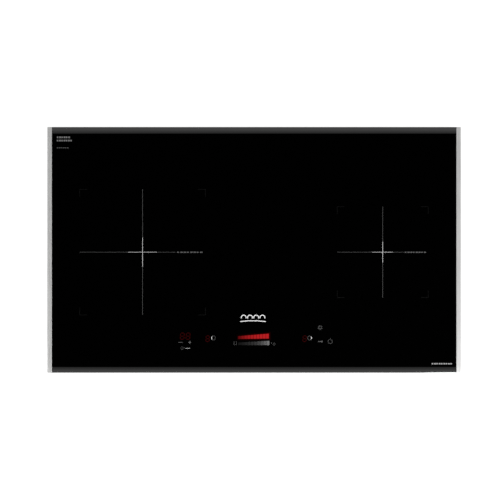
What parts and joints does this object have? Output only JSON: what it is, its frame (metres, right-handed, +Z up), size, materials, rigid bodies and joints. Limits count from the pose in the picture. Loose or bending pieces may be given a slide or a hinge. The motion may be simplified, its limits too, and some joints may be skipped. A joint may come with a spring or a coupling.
{
  "type": "built-in induction cooktop",
  "caption": "Two-zone built-in induction cooktop: black glass with side trims over a folded steel tray of coils, power boards, fans and touch controls.",
  "frame": {"origin": "middle of the tray's underside, on the surface that the cooktop stands on out of its worktop", "axes": "+X to the user's right along the glass, +Y to the back, +Z up through the glass"},
  "size_m": [0.73, 0.434, 0.062],
  "materials": {
    "glass": "gloss",
    "trim": "satin",
    "seal": "matte",
    "steel": "satin",
    "coil_plate": "satin",
    "spring_steel": "polished",
    "bracket": "satin",
    "screw": "satin",
    "carrier": "matte",
    "copper": "satin",
    "mica": "matte",
    "sensor": "matte",
    "board": "satin",
    "heat_sink": "satin",
    "chip": "matte",
    "capacitor": "gloss",
    "choke": "gloss",
    "plastic": "matte",
    "display": "gloss",
    "terminal": "satin",
    "lead": "matte",
    "ribbon": "satin",
    "ferrite": "matte",
    "print": "matte",
    "lit_segment": "gloss",
    "label": "satin"
  },
  "bodies": {
    "root": {"base_tray": "steel", "cable_inlet": "plastic", "coil_plate": "coil_plate", "control_holder": "plastic", "filter_board": "board", "front_left_bracket_screw": "screw", "front_left_spring": "spring_steel", "front_right_bracket_screw": "screw", "front_right_spring": "spring_steel", "glass_frame": "steel", "glass_top": "glass", "left_air_duct": "plastic", "left_bus_capacitor": "capacitor", "left_choke": "choke", "left_coil_carrier": "carrier", "left_coil_winding": "copper", "left_fan_frame": "plastic", "left_heat_sink": "heat_sink", "left_igbt": "chip", "left_inner_coil_lead": "lead", "left_mica_sheet": "mica", "left_outer_coil_lead": "lead", "left_power_board": "board", "left_rectifier": "chip", "left_trim": "trim", "left_zone_display": "display", "level_display": "display", "rear_left_bracket_screw": "screw", "rear_left_spring": "spring_steel", "rear_right_bracket_screw": "screw", "rear_right_spring": "spring_steel", "ribbon_cable": "ribbon", "right_air_duct": "plastic", "right_bus_capacitor": "capacitor", "right_choke": "choke", "right_coil_carrier": "carrier", "right_coil_winding": "copper", "right_fan_frame": "plastic", "right_heat_sink": "heat_sink", "right_igbt": "chip", "right_inner_coil_lead": "lead", "right_mica_sheet": "mica", "right_outer_coil_lead": "lead", "right_power_board": "board", "right_rectifier": "chip", "right_trim": "trim", "right_zone_display": "display", "terminal_block": "terminal", "timer_display": "display", "touch_board": "board", "worktop_seal": "seal"},
    "left_fan": {"left_fan_rotor": "plastic"},
    "right_fan": {"right_fan_rotor": "plastic"},
    "left_sensor": {"left_thermal_sensor": "sensor"},
    "right_sensor": {"right_thermal_sensor": "sensor"},
    "cover": {"terminal_cover": "plastic"},
    "rear_left_claw": {"rear_left_bracket": "bracket"},
    "rear_right_claw": {"rear_right_bracket": "bracket"},
    "front_left_claw": {"front_left_bracket": "bracket"},
    "front_right_claw": {"front_right_bracket": "bracket"}
  },
  "joints": [
    {"name": "left_fan_spin", "type": "hinge", "parent": "root", "child": "left_fan", "pos_m": [-0.262, 0.12, 0.0145], "axis": [0, 0, 1], "continuous": true},
    {"name": "right_fan_spin", "type": "hinge", "parent": "root", "child": "right_fan", "pos_m": [0.262, 0.12, 0.0145], "axis": [0, 0, 1], "continuous": true},
    {"name": "left_sensor_travel", "type": "slide", "parent": "root", "child": "left_sensor", "axis": [0, 0, 1], "range_m": [-0.002, 0], "stiffness_N_per_m": 300, "springref_m": 0.003},
    {"name": "right_sensor_travel", "type": "slide", "parent": "root", "child": "right_sensor", "axis": [0, 0, 1], "range_m": [-0.002, 0], "stiffness_N_per_m": 300, "springref_m": 0.003},
    {"name": "cover_hinge", "type": "hinge", "parent": "root", "child": "cover", "pos_m": [0.047, 0.1921, 0.025], "axis": [0, 0, -1], "range_deg": [0, 105]},
    {"name": "rear_left_claw_swing", "type": "hinge", "parent": "root", "child": "rear_left_claw", "pos_m": [-0.328, 0.178, 0.022], "axis": [0, 0, -1], "range_deg": [0, 90]},
    {"name": "rear_right_claw_swing", "type": "hinge", "parent": "root", "child": "rear_right_claw", "pos_m": [0.328, 0.178, 0.022], "axis": [0, 0, 1], "range_deg": [0, 90]},
    {"name": "front_left_claw_swing", "type": "hinge", "parent": "root", "child": "front_left_claw", "pos_m": [-0.328, -0.178, 0.022], "axis": [0, 0, 1], "range_deg": [0, 90]},
    {"name": "front_right_claw_swing", "type": "hinge", "parent": "root", "child": "front_right_claw", "pos_m": [0.328, -0.178, 0.022], "axis": [0, 0, -1], "range_deg": [0, 90]}
  ]
}
